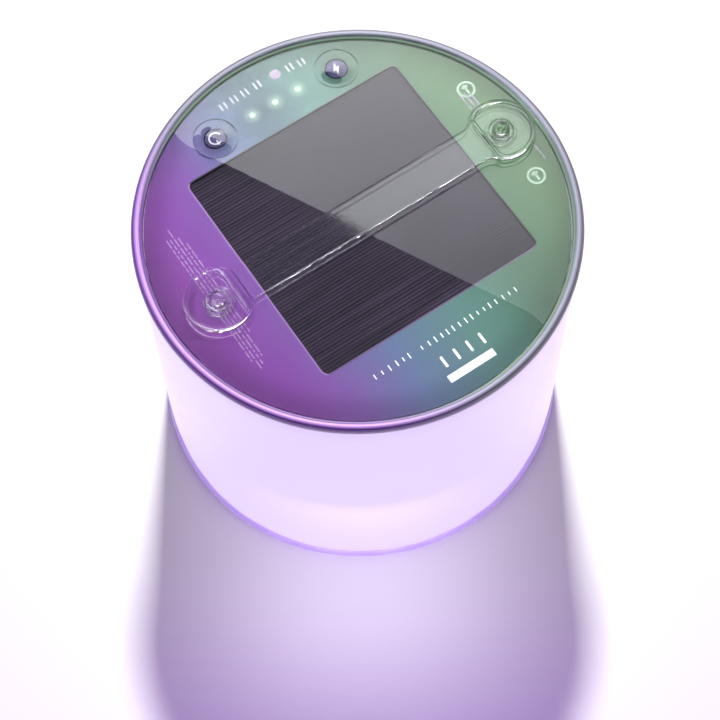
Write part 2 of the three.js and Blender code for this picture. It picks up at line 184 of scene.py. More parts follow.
def evenNormals(piece):
    # keeps broad flat faces flat in shading beside their rounded edges
    makeActive(piece)
    weighted = piece.modifiers.new("evenNormals", "WEIGHTED_NORMAL")
    weighted.keep_sharp = True
    weighted.weight = 90
    bpy.ops.object.modifier_apply(modifier=weighted.name)


def joinPieces(name, pieces):
    deselectAll()
    for piece in pieces:
        piece.select_set(True)
    bpy.context.view_layer.objects.active = pieces[0]
    if len(pieces) > 1:
        bpy.ops.object.join()
    pieces[0].name = name
    return pieces[0]


def combine(piece, other, operation):
    makeActive(piece)
    boolean = piece.modifiers.new("combine", "BOOLEAN")
    boolean.operation = operation
    boolean.solver = "EXACT"
    boolean.object = other
    bpy.ops.object.modifier_apply(modifier=boolean.name)
    bpy.data.objects.remove(other, do_unlink=True)


# Shape helpers: outlines and profiles are in millimetres


def roundCorners(points, radius, steps=4):
    # Replaces each corner of a closed outline by a short curve. A corner on the axis of a turned piece stays.
    rounded = []
    count = len(points)
    for index in range(count):
        corner = Vector(points[index])
        before = Vector(points[index - 1]) - corner
        after = Vector(points[(index + 1) % count]) - corner
        nearest = min(abs(points[index - 1][0]), abs(points[(index + 1) % count][0]))
        if abs(corner.x) < 1e-6 and nearest < 1e-6:
            rounded.append(tuple(corner))
            continue
        reach = min(radius, before.length * 0.48, after.length * 0.48)
        start = corner + before.normalized() * reach
        end = corner + after.normalized() * reach
        for step in range(steps + 1):
            s = step / steps
            point = start * (1 - s) ** 2 + corner * 2 * s * (1 - s) + end * s ** 2
            rounded.append((point.x, point.y))
    return rounded


def arcPoints(radius, fromDegrees, toDegrees, count, centre=(0, 0)):
    turns = [math.radians(fromDegrees + (toDegrees - fromDegrees) * k / (count - 1)) for k in range(count)]
    return [(centre[0] + radius * math.cos(t), centre[1] + radius * math.sin(t)) for t in turns]


def cutSheet(name, outline, lowZ, highZ, edge=0.0, edgeSteps=3, at=(0, 0)):
    # A flat piece cut to an outline, with its upper and lower edges rounded.
    deselectAll()
    bpy.ops.mesh.primitive_circle_add(vertices=len(outline), radius=1, fill_type="NGON")
    piece = bpy.context.object
    piece.name = name
    for vertex, point in zip(piece.data.vertices, outline):
        vertex.co = ((point[0] + at[0]) * mm, (point[1] + at[1]) * mm, lowZ * mm)
    editPiece(piece)
    bpy.ops.mesh.select_all(action="SELECT")
    bpy.ops.mesh.extrude_region_move(TRANSFORM_OT_translate={"value": (0, 0, (highZ - lowZ) * mm)})
    bpy.ops.mesh.select_all(action="SELECT")
    bpy.ops.mesh.normals_make_consistent(inside=False)
    if edge > 0:
        bpy.ops.mesh.select_mode(type="EDGE")
        flat = 0.01 * mm
        pickEdges(lambda a, b: abs(a.z - b.z) < flat)
        bpy.ops.mesh.bevel(offset=edge * mm, segments=edgeSteps, profile=0.5, affect="EDGES")
    leaveEdit()
    smoothByAngle(piece)
    return piece


def spinProfile(name, profile, steps=96, at=(0, 0), degrees=360, startDegrees=0):
    # A turned piece: a closed profile of radius and height, spun about an upright axis.
    deselectAll()
    bpy.ops.mesh.primitive_circle_add(vertices=len(profile), radius=1, fill_type="NOTHING")
    piece = bpy.context.object
    piece.name = name
    start = math.radians(startDegrees)
    for vertex, (radius, height) in zip(piece.data.vertices, profile):
        x = radius * math.cos(start) + at[0]
        y = radius * math.sin(start) + at[1]
        vertex.co = (x * mm, y * mm, height * mm)
    editPiece(piece, "EDGE")
    bpy.ops.mesh.select_all(action="SELECT")
    if degrees < 360:
        bpy.ops.mesh.edge_face_add()
        bpy.ops.mesh.select_all(action="SELECT")
    bpy.ops.mesh.spin(
        steps=steps,
        angle=math.radians(degrees),
        center=(at[0] * mm, at[1] * mm, 0),
        axis=(0, 0, 1),
        use_auto_merge=degrees == 360,
    )
    bpy.ops.mesh.select_all(action="SELECT")
    bpy.ops.mesh.remove_doubles(threshold=0.002 * mm)
    bpy.ops.mesh.delete_loose(use_verts=True, use_edges=True, use_faces=False)
    bpy.ops.mesh.select_all(action="SELECT")
    bpy.ops.mesh.normals_make_consistent(inside=False)
    leaveEdit()
    smoothByAngle(piece)
    return piece


def moduleAt(x, y):
    return (x + moduleX / mm, y + moduleY / mm)


# Shader steps. A value is a number, a vector or the socket that it comes from.


def feed(links, value, socket):
    if isinstance(value, bpy.types.NodeSocket):
        links.new(value, socket)
    else:
        socket.default_value = value


def addMath(nodes, links, operation, *values):
    step = nodes.new("ShaderNodeMath")
    step.operation = operation
    for socket, value in zip(step.inputs, values):
        feed(links, value, socket)
    return step.outputs[0]


def addVectorMath(nodes, links, operation, first, second=None):
    step = nodes.new("ShaderNodeVectorMath")
    step.operation = operation
    feed(links, first, step.inputs[0])
    if second is not None:
        feed(links, second, step.inputs["Scale" if operation == "SCALE" else 1])
    return step.outputs["Value" if operation in ("LENGTH", "DISTANCE", "DOT_PRODUCT") else "Vector"]


def addRange(nodes, links, value, fromRange, toRange=(0.0, 1.0), soft=False):
    level = nodes.new("ShaderNodeMapRange")
    if soft:
        level.interpolation_type = "SMOOTHSTEP"
    for name, limit in zip(("From Min", "From Max", "To Min", "To Max"), (*fromRange, *toRange)):
        feed(links, limit, level.inputs[name])
    links.new(value, level.inputs["Value"])
    return level.outputs["Result"]


def addRamp(nodes, links, value, stops):
    ramp = nodes.new("ShaderNodeValToRGB")
    while len(ramp.color_ramp.elements) < len(stops):
        ramp.color_ramp.elements.new(0.5)
    for element, (position, colour) in zip(ramp.color_ramp.elements, stops):
        element.position = position
        element.color = (*colour, 1)
    links.new(value, ramp.inputs["Fac"])
    return ramp.outputs["Color"]


def addAxes(nodes, links, place):
    split = nodes.new("ShaderNodeSeparateXYZ")
    links.new(place.outputs["Object"], split.inputs[0])
    return split.outputs


def addRadius(nodes, links, place):
    flat = addVectorMath(nodes, links, "MULTIPLY", place.outputs["Object"], (1, 1, 0))
    return addVectorMath(nodes, links, "LENGTH", flat)


# Shared shader effects


def addSocket(group, name, kind, direction, value=None):
    socket = group.interface.new_socket(name, in_out=direction, socket_type="NodeSocket" + kind)
    if value is not None:
        socket.default_value = value


def buildGrainGroup():
    # Fine moulded or rolled grain: uneven gloss, and a height for a bump.
    group = bpy.data.node_groups.new("surfaceGrain", "ShaderNodeTree")
    addSocket(group, "Place", "Vector", "INPUT")
    addSocket(group, "Scale", "Float", "INPUT", 600.0)
    addSocket(group, "Roughness", "Float", "INPUT", 0.4)
    addSocket(group, "Spread", "Float", "INPUT", 0.1)
    addSocket(group, "Roughness", "Float", "OUTPUT")
    addSocket(group, "Height", "Float", "OUTPUT")
    nodes, links = group.nodes, group.links
    source = nodes.new("NodeGroupInput")
    result = nodes.new("NodeGroupOutput")
    fine = nodes.new("ShaderNodeTexNoise")
    fine.inputs["Detail"].default_value = 3
    broad = nodes.new("ShaderNodeTexNoise")
    broad.inputs["Detail"].default_value = 2
    for noise in (fine, broad):
        links.new(source.outputs["Place"], noise.inputs["Vector"])
    links.new(source.outputs["Scale"], fine.inputs["Scale"])
    links.new(addMath(nodes, links, "MULTIPLY", source.outputs["Scale"], 0.06), broad.inputs["Scale"])
    centred = addMath(nodes, links, "SUBTRACT", broad.outputs["Fac"], 0.5)
    spread, middle = source.outputs["Spread"], source.outputs["Roughness"]
    links.new(addMath(nodes, links, "MULTIPLY_ADD", centred, spread, middle), result.inputs["Roughness"])
    links.new(fine.outputs["Fac"], result.inputs["Height"])
    return group


def buildSpotGroup():
    # How strongly a round spot on the module's top shows: 1 in its middle, fading to 0 at its radius.
    group = bpy.data.node_groups.new("softSpot", "ShaderNodeTree")
    addSocket(group, "Place", "Vector", "INPUT")
    addSocket(group, "Centre", "Vector", "INPUT")
    addSocket(group, "Radius", "Float", "INPUT", 0.002)
    addSocket(group, "Amount", "Float", "OUTPUT")
    nodes, links = group.nodes, group.links
    source = nodes.new("NodeGroupInput")
    result = nodes.new("NodeGroupOutput")
    flat = addVectorMath(nodes, links, "MULTIPLY", source.outputs["Place"], (1, 1, 0))
    gap = addVectorMath(nodes, links, "DISTANCE", flat, source.outputs["Centre"])
    fade = addRange(nodes, links, gap, (0.0, source.outputs["Radius"]), (1.0, 0.0), soft=True)
    links.new(fade, result.inputs["Amount"])
    return group


grainGroup = buildGrainGroup()
spotGroup = buildSpotGroup()

# Materials


def startMaterial(name, colour, roughness, metallic=0.0, specular=0.5):
    material = bpy.data.materials.new(name)
    material.use_nodes = True
    nodes, links = material.node_tree.nodes, material.node_tree.links
    nodes.clear()
    output = nodes.new("ShaderNodeOutputMaterial")
    shader = nodes.new("ShaderNodeBsdfPrincipled")
    links.new(shader.outputs[0], output.inputs["Surface"])
    shader.inputs["Base Color"].default_value = (*colour, 1)
    shader.inputs["Roughness"].default_value = roughness
    shader.inputs["Metallic"].default_value = metallic
    shader.inputs["Specular IOR Level"].default_value = specular
    place = nodes.new("ShaderNodeTexCoord")
    return material, nodes, links, shader, place


def addGrain(nodes, links, shader, place, scale, roughness, spread, depth):
    # Uneven gloss and a fine bump. The depth is in metres.
    grain = nodes.new("ShaderNodeGroup")
    grain.node_tree = grainGroup
    grain.inputs["Scale"].default_value = scale
    grain.inputs["Roughness"].default_value = roughness
    grain.inputs["Spread"].default_value = spread
    links.new(place.outputs["Object"], grain.inputs["Place"])
    links.new(grain.outputs["Roughness"], shader.inputs["Roughness"])
    bump = nodes.new("ShaderNodeBump")
    bump.inputs["Strength"].default_value = 1.0
    bump.inputs["Distance"].default_value = depth
    links.new(grain.outputs["Height"], bump.inputs["Height"])
    links.new(bump.outputs["Normal"], shader.inputs["Normal"])
    return grain, bump


def addTint(nodes, links, place, colours, scale, socket):
    # A colour that wanders between two close tones.
    noise = nodes.new("ShaderNodeTexNoise")
    noise.inputs["Scale"].default_value = scale
    noise.inputs["Detail"].default_value = 3
    links.new(place.outputs["Object"], noise.inputs["Vector"])
    links.new(addRamp(nodes, links, noise.outputs["Fac"], list(zip((0.35, 0.65), colours))), socket)


def moulded(name, colours, roughness=0.45, scale=900, depth=0.00002, metallic=0.0, specular=0.5):
    material, nodes, links, shader, place = startMaterial(name, colours[0], roughness, metallic, specular)
    addGrain(nodes, links, shader, place, scale, roughness, 0.15, depth)
    addTint(nodes, links, place, colours, scale * 0.08, shader.inputs["Base Color"])
    return material


def clearPlastic(name, colour, roughness, rippleScale, rippleDepth, ior=1.5, shadowTone=0.12):
    # Clear moulded plastic. Light passes through it, and its steep edges throw a soft shadow.
    material, nodes, links, shader, place = startMaterial(name, colour, roughness)
    shader.inputs["Transmission Weight"].default_value = 1.0
    shader.inputs["IOR"].default_value = ior
    addGrain(nodes, links, shader, place, rippleScale, roughness, roughness * 0.5, rippleDepth)
    through = nodes.new("ShaderNodeBsdfTransparent")
    facing = nodes.new("ShaderNodeLayerWeight")
    facing.inputs["Blend"].default_value = 0.5
    stops = [(position, (tone, tone, tone)) for position, tone in ((0.2, 0.96), (0.48, shadowTone))]
    links.new(addRamp(nodes, links, facing.outputs["Facing"], stops), through.inputs["Color"])
    mix = nodes.new("ShaderNodeMixShader")
    lightPath = nodes.new("ShaderNodeLightPath")
    output = [node for node in nodes if node.type == "OUTPUT_MATERIAL"][0]
    links.new(lightPath.outputs["Is Shadow Ray"], mix.inputs[0])
    links.new(shader.outputs[0], mix.inputs[1])
    links.new(through.outputs[0], mix.inputs[2])
    links.new(mix.outputs[0], output.inputs["Surface"])
    return material


def setMaterial(piece, material):
    piece.data.materials.clear()
    piece.data.materials.append(material)


def dress(piece, material, body, node=None):
    # Gives a piece its material and its body, and hides the CAD node that it stands for.
    setMaterial(piece, material)
    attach(piece, body)
    if node is not None:
        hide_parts(node)


print("shaders ready")

# Floor

deselectAll()
bpy.ops.mesh.primitive_plane_add(size=studio["floorSize"], location=(0, 0, 0))
floor = bpy.context.object
floor.name = "studioFloor"
white = (studio["floorWhite"],) * 3
floorPaper, nodes, links, shader, place = startMaterial("floorPaper", white, 0.6, specular=0.0)
# the paper stays white where the lamps no longer reach
away = addVectorMath(nodes, links, "LENGTH", place.outputs["Object"])
links.new(addRange(nodes, links, away, (0.55, 1.5), (0.07, 0.75)), shader.inputs["Emission Strength"])
shader.inputs["Emission Color"].default_value = (1, 0.9, 1, 1)
setMaterial(floor, floorPaper)


def buildOverheadCard(settings):
    # A white card over the object with one straight edge. It is lit more strongly at its far end.
    start, end = Vector(settings["edge"][0]), Vector(settings["edge"][1])
    along = (end - start).normalized()
    inward = Vector((-along.y, along.x))
    first = start - along * settings["before"]
    last = end + along * settings["after"]
    corners = [first, last, last + inward * settings["depth"], first + inward * settings["depth"]]
    deselectAll()
    bpy.ops.mesh.primitive_circle_add(vertices=4, radius=1, fill_type="NGON")
    card = bpy.context.object
    card.name = "overheadCard"
    for vertex, corner in zip(card.data.vertices, corners):
        vertex.co = (corner.x, corner.y, settings["height"])
    material = bpy.data.materials.new("cardLight")
    material.use_nodes = True
    nodes, links = material.node_tree.nodes, material.node_tree.links
    nodes.clear()
    output = nodes.new("ShaderNodeOutputMaterial")
    emission = nodes.new("ShaderNodeEmission")
    emission.inputs["Color"].default_value = (*settings["colour"], 1)
    place = nodes.new("ShaderNodeTexCoord")
    reach = addVectorMath(nodes, links, "DOT_PRODUCT", place.outputs["Object"], (0.35, 1, 0))
    fade = (settings["fadeFrom"], settings["fadeTo"])
    level = addRange(nodes, links, reach, fade, (settings["dim"], settings["bright"]))
    links.new(level, emission.inputs["Strength"])
    links.new(emission.outputs[0], output.inputs["Surface"])
    setMaterial(card, material)
    card.visible_camera = False
    card.visible_shadow = False
    card.visible_diffuse = False


buildOverheadCard(overheadCard)

# Side wall

wall = {
    "radius": 62.9,
    "film": 0.5,
    "footZ": 2.5,
    "topZ": 104.9,
    "tuck": 0.55,  # how far the film draws in at its two welds
    "pucker": 0.12,
    "steps": 192,
}


def wallRadius(z):
    reach = 3.5
    low = math.exp(-(z - wall["footZ"]) / reach)
    high = math.exp(-(wall["topZ"] - z) / reach)
    return wall["radius"] - wall["tuck"] * (low + high)


def randomWaves(fewest, most, count):
    # count of crests, phase and strength of each wave round a film's edge
    return [(random.randint(fewest, most), random.uniform(0, 6.28), random.uniform(0.3, 1.0))
            for _ in range(count)]


def buildWall():
    heights = [2.5, 3.2, 4, 5, 6.5, 9, 13, 20, 30, 42, 54, 66, 78, 88, 95, 99, 101.5, 103, 104, 104.9]
    outside = [(wallRadius(z), z) for z in heights]
    inside = [(wallRadius(z) - wall["film"], z) for z in reversed(heights)]
    piece = spinProfile("wallFilm", outside + inside, wall["steps"])
    waves = randomWaves(9, 60, 9)
    for vertex in piece.data.vertices:
        x, y, z = vertex.co
        turn = math.atan2(y, x)
        fade = math.exp(-abs(z / mm - wall["footZ"]) / 7) + math.exp(-abs(wall["topZ"] - z / mm) / 7)
        soft = sum(w * math.sin(n * turn + p) for n, p, w in waves) / 3
        push = wall["pucker"] * mm * fade * soft
        vertex.co.x += push * math.cos(turn)
        vertex.co.y += push * math.sin(turn)
    return piece


wallFilm = buildWall()
smoothByAngle(wallFilm, 60)

glow = {"colour": (0.70, 0.595, 0.84), "edge": (0.64, 0.51, 0.87), "strength": 1.0}


def buildWallMaterial():
    colour = (0.26, 0.22, 0.30)
    material, nodes, links, shader, place = startMaterial("frostedFilm", colour, 0.42, specular=0.1)
    addGrain(nodes, links, shader, place, 1400, 0.42, 0.12, 0.000012)
    height = addRange(nodes, links, addAxes(nodes, links, place)["Z"], (0.0, 0.108))
    stops = [(0.0, glow["edge"]), (0.07, glow["colour"]), (0.9, glow["colour"]), (1.0, glow["edge"])]
    links.new(addRamp(nodes, links, height, stops), shader.inputs["Emission Color"])
    shader.inputs["Emission Strength"].default_value = glow["strength"]
    return material


frostedFilm = buildWallMaterial()
dress(wallFilm, frostedFilm, "base", "side_wall")
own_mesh(wallFilm)

print("side wall built")

# Weld beads

clearMoulding = clearPlastic("clearMoulding", (0.96, 0.97, 0.98), 0.04, 120, 0.000006, shadowTone=0.45)
clearSheet = clearPlastic("clearSheet", (0.99, 0.99, 1.0), 0.008, 45, 0.0000012)


# Tones from the flange out to the wall, at the end beside the power button and at the other end. They hold a
# painted highlight along the bead's crown and painted shadow in the crease against the wall.
beadTonesLitAndShaded = [
    (60.2, (0.085, 0.030, 0.150), (0.105, 0.175, 0.115)),
    (60.5, (0.115, 0.042, 0.225), (0.120, 0.190, 0.135)),
    (61.0, (0.130, 0.048, 0.270), (0.150, 0.205, 0.185)),
    (61.35, (0.600, 0.360, 0.780), (0.300, 0.320, 0.400)),
    (61.9, (0.540, 0.310, 0.780), (0.340, 0.350, 0.450)),
    (62.6, (0.290, 0.130, 0.520), (0.230, 0.230, 0.320)),
    (62.95, (0.095, 0.040, 0.220), (0.110, 0.105, 0.145)),
    (63.2, (0.110, 0.050, 0.240), (0.130, 0.120, 0.160)),
    (63.4, (0.420, 0.300, 0.560), (0.400, 0.370, 0.480)),
]


def buildBeadMaterial():
    # Clear welded film: it shows the print inside and the wall outside, and is pale at one end. Its tones
    # paint a highlight on the crown and shadow in the crease, and its emission paints a glow.
    material, nodes, links, shader, place = startMaterial("weldBead", (0.4, 0.3, 0.5), 0.3, specular=0.12)
    addGrain(nodes, links, shader, place, 500, 0.3, 0.08, 0.00001)
    across = addRange(nodes, links, addRadius(nodes, links, place), (0.060, 0.0636))
    near, far = ([((tone[0] - 60) / 3.6, tone[column]) for tone in beadTonesLitAndShaded] for column in (1, 2))
    toward = addVectorMath(nodes, links, "DOT_PRODUCT", place.outputs["Object"], (-0.97, -0.21, 0))
    end = addRange(nodes, links, toward, (0.004, 0.046), (1.0, 0.0), soft=True)
    mix = nodes.new("ShaderNodeMix")
    mix.data_type = "RGBA"
    links.new(end, mix.inputs["Factor"])
    links.new(addRamp(nodes, links, across, near), mix.inputs[6])
    links.new(addRamp(nodes, links, across, far), mix.inputs[7])
    links.new(mix.outputs[2], shader.inputs["Base Color"])
    links.new(mix.outputs[2], shader.inputs["Emission Color"])
    shader.inputs["Emission Strength"].default_value = 0.25
    return material


weldBead = buildBeadMaterial()


def buildFootMaterial():
    material, nodes, links, shader, place = startMaterial("footBead", (0.60, 0.50, 0.76), 0.25, specular=0.3)
    addGrain(nodes, links, shader, place, 500, 0.25, 0.08, 0.00001)
    addTint(nodes, links, place, ((0.54, 0.44, 0.72), (0.66, 0.56, 0.80)), 90, shader.inputs["Base Color"])
    # the emission paints the lamp's inner glow showing through the bead
    shader.inputs["Emission Color"].default_value = (0.52, 0.34, 0.95, 1)
    shader.inputs["Emission Strength"].default_value = 0.5
    return material


footBead = buildFootMaterial()

baseBeadProfile = roundCorners([(60.3, 0), (63.5, 0), (63.5, 2.8), (60.3, 2.8)], 1.1, 5)
baseBead = spinProfile("baseBead", baseBeadProfile, 160)
dress(baseBead, footBead, "base", "side_wall")

topBeadProfile = roundCorners(
    [(60.2, 105.3), (63.0, 105.3), (63.5, 105.9), (63.5, 107.1), (63.25, 107.45), (62.9, 107.4),
     (62.6, 107.9), (61.9, 108), (61.4, 107.8), (61.1, 107.15), (60.2, 107.1)], 0.35, 4)
topBead = spinProfile("topBead", topBeadProfile, 192)
dress(topBead, weldBead, "head", "top_rim")

print("weld beads built")

# Clear film over the top

sheet = {"radius": 60.1, "lowZ": 106.5, "film": 0.45, "lift": 0.05, "liftFrom": 55.0}
buttonX = 20.8
buttonY = 44.6
membrane = {"radius": 6.4, "rise": 0.35, "film": 0.4}


def cutButtonHoles(piece, radius, count, highZ):
    for side in (-1, 1):
        outline = arcPoints(radius, 0, 360 - 360 / count, count, moduleAt(side * buttonX, buttonY))
        combine(piece, cutSheet("cutter", outline, 104, highZ), "DIFFERENCE")


def buildTopSheet():
    radii = [0.0, 20, 40, 50, 53, 55, 57, 58.5, 59.5, sheet["radius"]]

    def rise(radius):
        share = max(0.0, (radius - sheet["liftFrom"]) / (sheet["radius"] - sheet["liftFrom"]))
        return sheet["lift"] * share * share

    upper = [(r, sheet["lowZ"] + sheet["film"] + rise(r)) for r in radii]
    lower = [(r, sheet["lowZ"] + rise(r)) for r in reversed(radii)]
    piece = spinProfile("topSheet", lower + upper, 128)
    cutButtonHoles(piece, membrane["radius"] + 0.05, 64, 110)
    return piece


topSheet = buildTopSheet()
smoothByAngle(topSheet, 25)
evenNormals(topSheet)
dress(topSheet, clearSheet, "head", "top_film")

# Printed sheet under the clear film, with a window for the panel

window = {"side": 71.4, "corner": 2.4}
panelCentre = moduleAt(0, 0.8)


def squareOutline(side, corner, centre=(0, 0), steps=6):
    half = side / 2
    corners = [(half, half), (-half, half), (-half, -half), (half, -half)]
    rounded = roundCorners(corners, corner, steps)
    return [(x + centre[0], y + centre[1]) for x, y in rounded]


printed = {"radius": 60.0, "lowZ": 106.1, "highZ": 106.4}


def buildPrintedSheet():
    ring = roundCorners([(0, printed["lowZ"]), (printed["radius"], printed["lowZ"]),
                         (printed["radius"], printed["highZ"]), (0, printed["highZ"])], 0.1, 2)
    piece = spinProfile("printedSheet", ring, 128)
    cutter = cutSheet("cutter", squareOutline(window["side"], window["corner"], panelCentre), 104, 108)
    combine(piece, cutter, "DIFFERENCE")
    cutButtonHoles(piece, 3.4, 48, 108)
    return piece


printedSheet = buildPrintedSheet()

# Painted light: colours of the coloured lamps' glow through the top, along the strap's direction, from the
# end beside the power button to the other.
sheetGlowTones = [
    (-52, (0.112, 0.032, 0.169)),
    (-43, (0.115, 0.035, 0.185)),
    (-33, (0.107, 0.049, 0.189)),
    (-23, (0.084, 0.077, 0.184)),
    (-13, (0.071, 0.101, 0.182)),
    (-3, (0.066, 0.116, 0.151)),
    (7, (0.061, 0.127, 0.123)),
    (17, (0.052, 0.115, 0.098)),
    (30, (0.041, 0.087, 0.057)),
    (50, (0.045, 0.093, 0.044)),
]


gauge = {"pitch": 7.8, "y": 45.2, "colour": (0.80, 1.0, 0.66)}


def addSpot(nodes, links, place, centre, radius):
    spot = nodes.new("ShaderNodeGroup")
    spot.node_tree = spotGroup
    x, y = moduleAt(*centre)
    spot.inputs["Centre"].default_value = (x * mm, y * mm, 0)
    spot.inputs["Radius"].default_value = radius
    links.new(place.outputs["Object"], spot.inputs["Place"])
    return spot.outputs["Amount"]


def buildSheetGlowMaterial():
    material, nodes, links, shader, place = startMaterial("sheetGlowTint", (0.1, 0.1, 0.2), 0.6, specular=0.05)
    addGrain(nodes, links, shader, place, 500, 0.6, 0.12, 0.000002)
    along = addRange(nodes, links, addAxes(nodes, links, place)["X"], (-0.056, 0.056))
    wander = nodes.new("ShaderNodeTexNoise")
    wander.inputs["Scale"].default_value = 28
    links.new(place.outputs["Object"], wander.inputs["Vector"])
    offset = addMath(nodes, links, "SUBTRACT", along, 0.05)
    shifted = addMath(nodes, links, "MULTIPLY_ADD", wander.outputs["Fac"], 0.10, offset)
    glowColour = addRamp(nodes, links, shifted, [((x + 56) / 112, colour) for x, colour in sheetGlowTones])
    # painted shade: darker towards the rim and round each button; the broad spot by the gauge is a dark
    # printed mask
    shade = addRange(nodes, links, addRadius(nodes, links, place), (0.050, 0.0595), (1.0, 0.66), soft=True)
    shadeAndMaskSpots = ((-buttonX, buttonY, 6.8, -0.75), (buttonX, buttonY, 6.8, -0.75), (-6, 45, 19, -0.42))
    for x, y, reach, weight in shadeAndMaskSpots:
        spot = addSpot(nodes, links, place, (x, y), reach * mm)
        shade = addMath(nodes, links, "MULTIPLY_ADD", spot, weight, shade)
    links.new(addVectorMath(nodes, links, "SCALE", glowColour, shade), shader.inputs["Base Color"])
    # the gauge lamps shine through the print
    total = 0.0
    for index in (-1, 0, 1):
        for reach, weight in ((0.0013, 0.95), (0.0036, 0.28)):
            spot = addSpot(nodes, links, place, (index * gauge["pitch"], gauge["y"]), reach)
            total = addMath(nodes, links, "MULTIPLY_ADD", spot, weight, total)
    links.new(addVectorMath(nodes, links, "SCALE", gauge["colour"], total), shader.inputs["Emission Color"])
    shader.inputs["Emission Strength"].default_value = 1.0
    return material


sheetGlowTint = buildSheetGlowMaterial()
smoothByAngle(printedSheet, 25)
evenNormals(printedSheet)
dress(printedSheet, sheetGlowTint, "head")

print("top film and print built")

# Printed marks

markZ = (106.41, 106.45)


def bar(length, width, centre, degrees=0.0, corner=None):
    half = length / 2
    thin = width / 2
    box = [(half, thin), (-half, thin), (-half, -thin), (half, -thin)]
    outline = roundCorners(box, corner or thin * 0.9, 3)
    turn = math.radians(degrees)
    cosine, sine = math.cos(turn), math.sin(turn)
    turned = [(x * cosine - y * sine, x * sine + y * cosine) for x, y in outline]
    return cutSheet("mark", turned, *markZ, at=moduleAt(*centre))


def ringMark(outer, inner, centre, degrees=360, startDegrees=0, heights=markZ):
    profile = [(inner, heights[0]), (outer, heights[0]), (outer, heights[1]), (inner, heights[1])]
    return spinProfile("mark", profile, 40, moduleAt(*centre), degrees, startDegrees)


def buildMarks():
    marks = []
    x = -24.6
    while x < 23.5:  # a line of short ticks along the edge of the panel away from the buttons
        length = random.choice((1.3, 1.6, 1.9))
        marks.append(bar(0.35, length, (x, -42.4)))
        x += random.choice((1.9, 2.1, 2.4)) if random.random() > 0.12 else 4.2
    for index in range(4):  # four upright bars and a label under them
        marks.append(bar(0.8, 3.6, (-6.6 + index * 4.2, -49.2)))
    marks.append(bar(15.0, 2.3, (-1.0, -54.3), corner=0.25))
    return joinPieces("printMarks", marks)


def buildRimMarks():
    # pairs of upright bars beyond the gauge lamps
    marks = []
    for x, y in ((-13.2, 52.3), (-9.4, 52.6), (-5.6, 52.8), (-1.2, 53.0), (9.8, 52.7), (13.6, 52.2)):
        marks.append(bar(2.5, 0.5, (x - 0.75, y), 90))
        marks.append(bar(2.5, 0.5, (x + 0.75, y), 90))
    return joinPieces("rimMarks", marks)


def buildSmallPrint():
    # rows of short dashes beside and under both ends of the strap
    marks = []
    rows = ((-49.6, -20, 22), (-48.6, -23, 24.5), (-47.5, -22, 25), (-46.4, -20, 24), (-45.3, -12, 20),
            (45.4, 9.6, 16.0), (46.8, 9.2, 16.4), (48.2, 9.8, 15.4), (53.4, -13.8, -6.2))
    for x, fromY, toY in rows:
        y = fromY
        while y < toY:
            length = random.choice((0.9, 1.5, 2.2, 2.9))
            marks.append(bar(length, 0.34, (x, y + length / 2), 90))
            y += length + 0.55
    return joinPieces("smallPrint", marks)


def buildRingMarks():
    marks = []
    for y in (17.6, -16.8):  # two ring marks beside the free end of the strap
        marks.append(ringMark(2.75, 2.1, (48.0, y)))
        marks.append(bar(3.4, 0.7, (48.0, y), 90))
        marks.append(bar(1.5, 0.6, (48.45, y + 0.7), 40))
        marks.append(bar(1.5, 0.6, (47.55, y + 0.7), -40))
    return joinPieces("ringMarks", marks)


def buildInk(name, dark, light):
    material, nodes, links, shader, place = startMaterial(name, dark, 0.5, specular=0.2)
    addGrain(nodes, links, shader, place, 1500, 0.5, 0.1, 0.00001)
    addTint(nodes, links, place, (dark, light), 700, shader.inputs["Base Color"])
    return material


markInks = (
    (buildMarks(), "paleInk", (0.558, 0.558, 0.612), (0.702, 0.693, 0.720)),
    (buildRimMarks(), "rimInk", (0.290, 0.290, 0.350), (0.340, 0.330, 0.400)),
    (ringMark(1.7, 0.0001, (5.1, 53.0)), "dotInk", (0.150, 0.125, 0.180), (0.175, 0.145, 0.205)),
    (buildSmallPrint(), "faintInk", (0.176, 0.115, 0.238), (0.238, 0.164, 0.303)),
    (buildRingMarks(), "ringInk", (0.164, 0.254, 0.205), (0.213, 0.320, 0.262)),
)
for piece, name, dark, light in markInks:
    dress(piece, buildInk(name, dark, light), "head")

print("marks built")

# Solar panel

panel = {"side": 71.0, "corner": 2.2, "lowZ": 105.0, "highZ": 105.75, "linePitch": 1.02}


def buildPanelMaterial():
    colour = (0.03, 0.028, 0.036)
    material, nodes, links, shader, place = startMaterial("solarCells", colour, 0.7, specular=0.03)
    stretch = nodes.new("ShaderNodeMapping")  # fine threads that run along the strap
    stretch.inputs["Scale"].default_value = (40, 1100, 40)
    links.new(place.outputs["Object"], stretch.inputs["Vector"])
    threads = nodes.new("ShaderNodeTexNoise")
    threads.inputs["Scale"].default_value = 1.0
    threads.inputs["Detail"].default_value = 4
    links.new(stretch.outputs[0], threads.inputs["Vector"])
    turns = 2 * math.pi / (panel["linePitch"] * mm)
    lines = addMath(nodes, links, "MULTIPLY", addAxes(nodes, links, place)["Y"], turns)
    level = addRange(nodes, links, addMath(nodes, links, "SINE", lines), (0.35, 1.0))
    blend = addMath(nodes, links, "MULTIPLY_ADD", level, 0.55, threads.outputs["Fac"])
    stops = [(0.32, (0.0290, 0.0230, 0.0395)), (1.0, (0.0012, 0.0010, 0.0020))]
    links.new(addRamp(nodes, links, blend, stops), shader.inputs["Base Color"])
    bump = nodes.new("ShaderNodeBump")
    bump.inputs["Distance"].default_value = 0.00001
    links.new(blend, bump.inputs["Height"])
    links.new(bump.outputs["Normal"], shader.inputs["Normal"])
    return material


solarCells = cutSheet("solarCells", squareOutline(panel["side"], panel["corner"], panelCentre),
                      panel["lowZ"], panel["highZ"], edge=0.2)
evenNormals(solarCells)
cellFace = buildPanelMaterial()
dress(solarCells, cellFace, "head", "solar_cells")

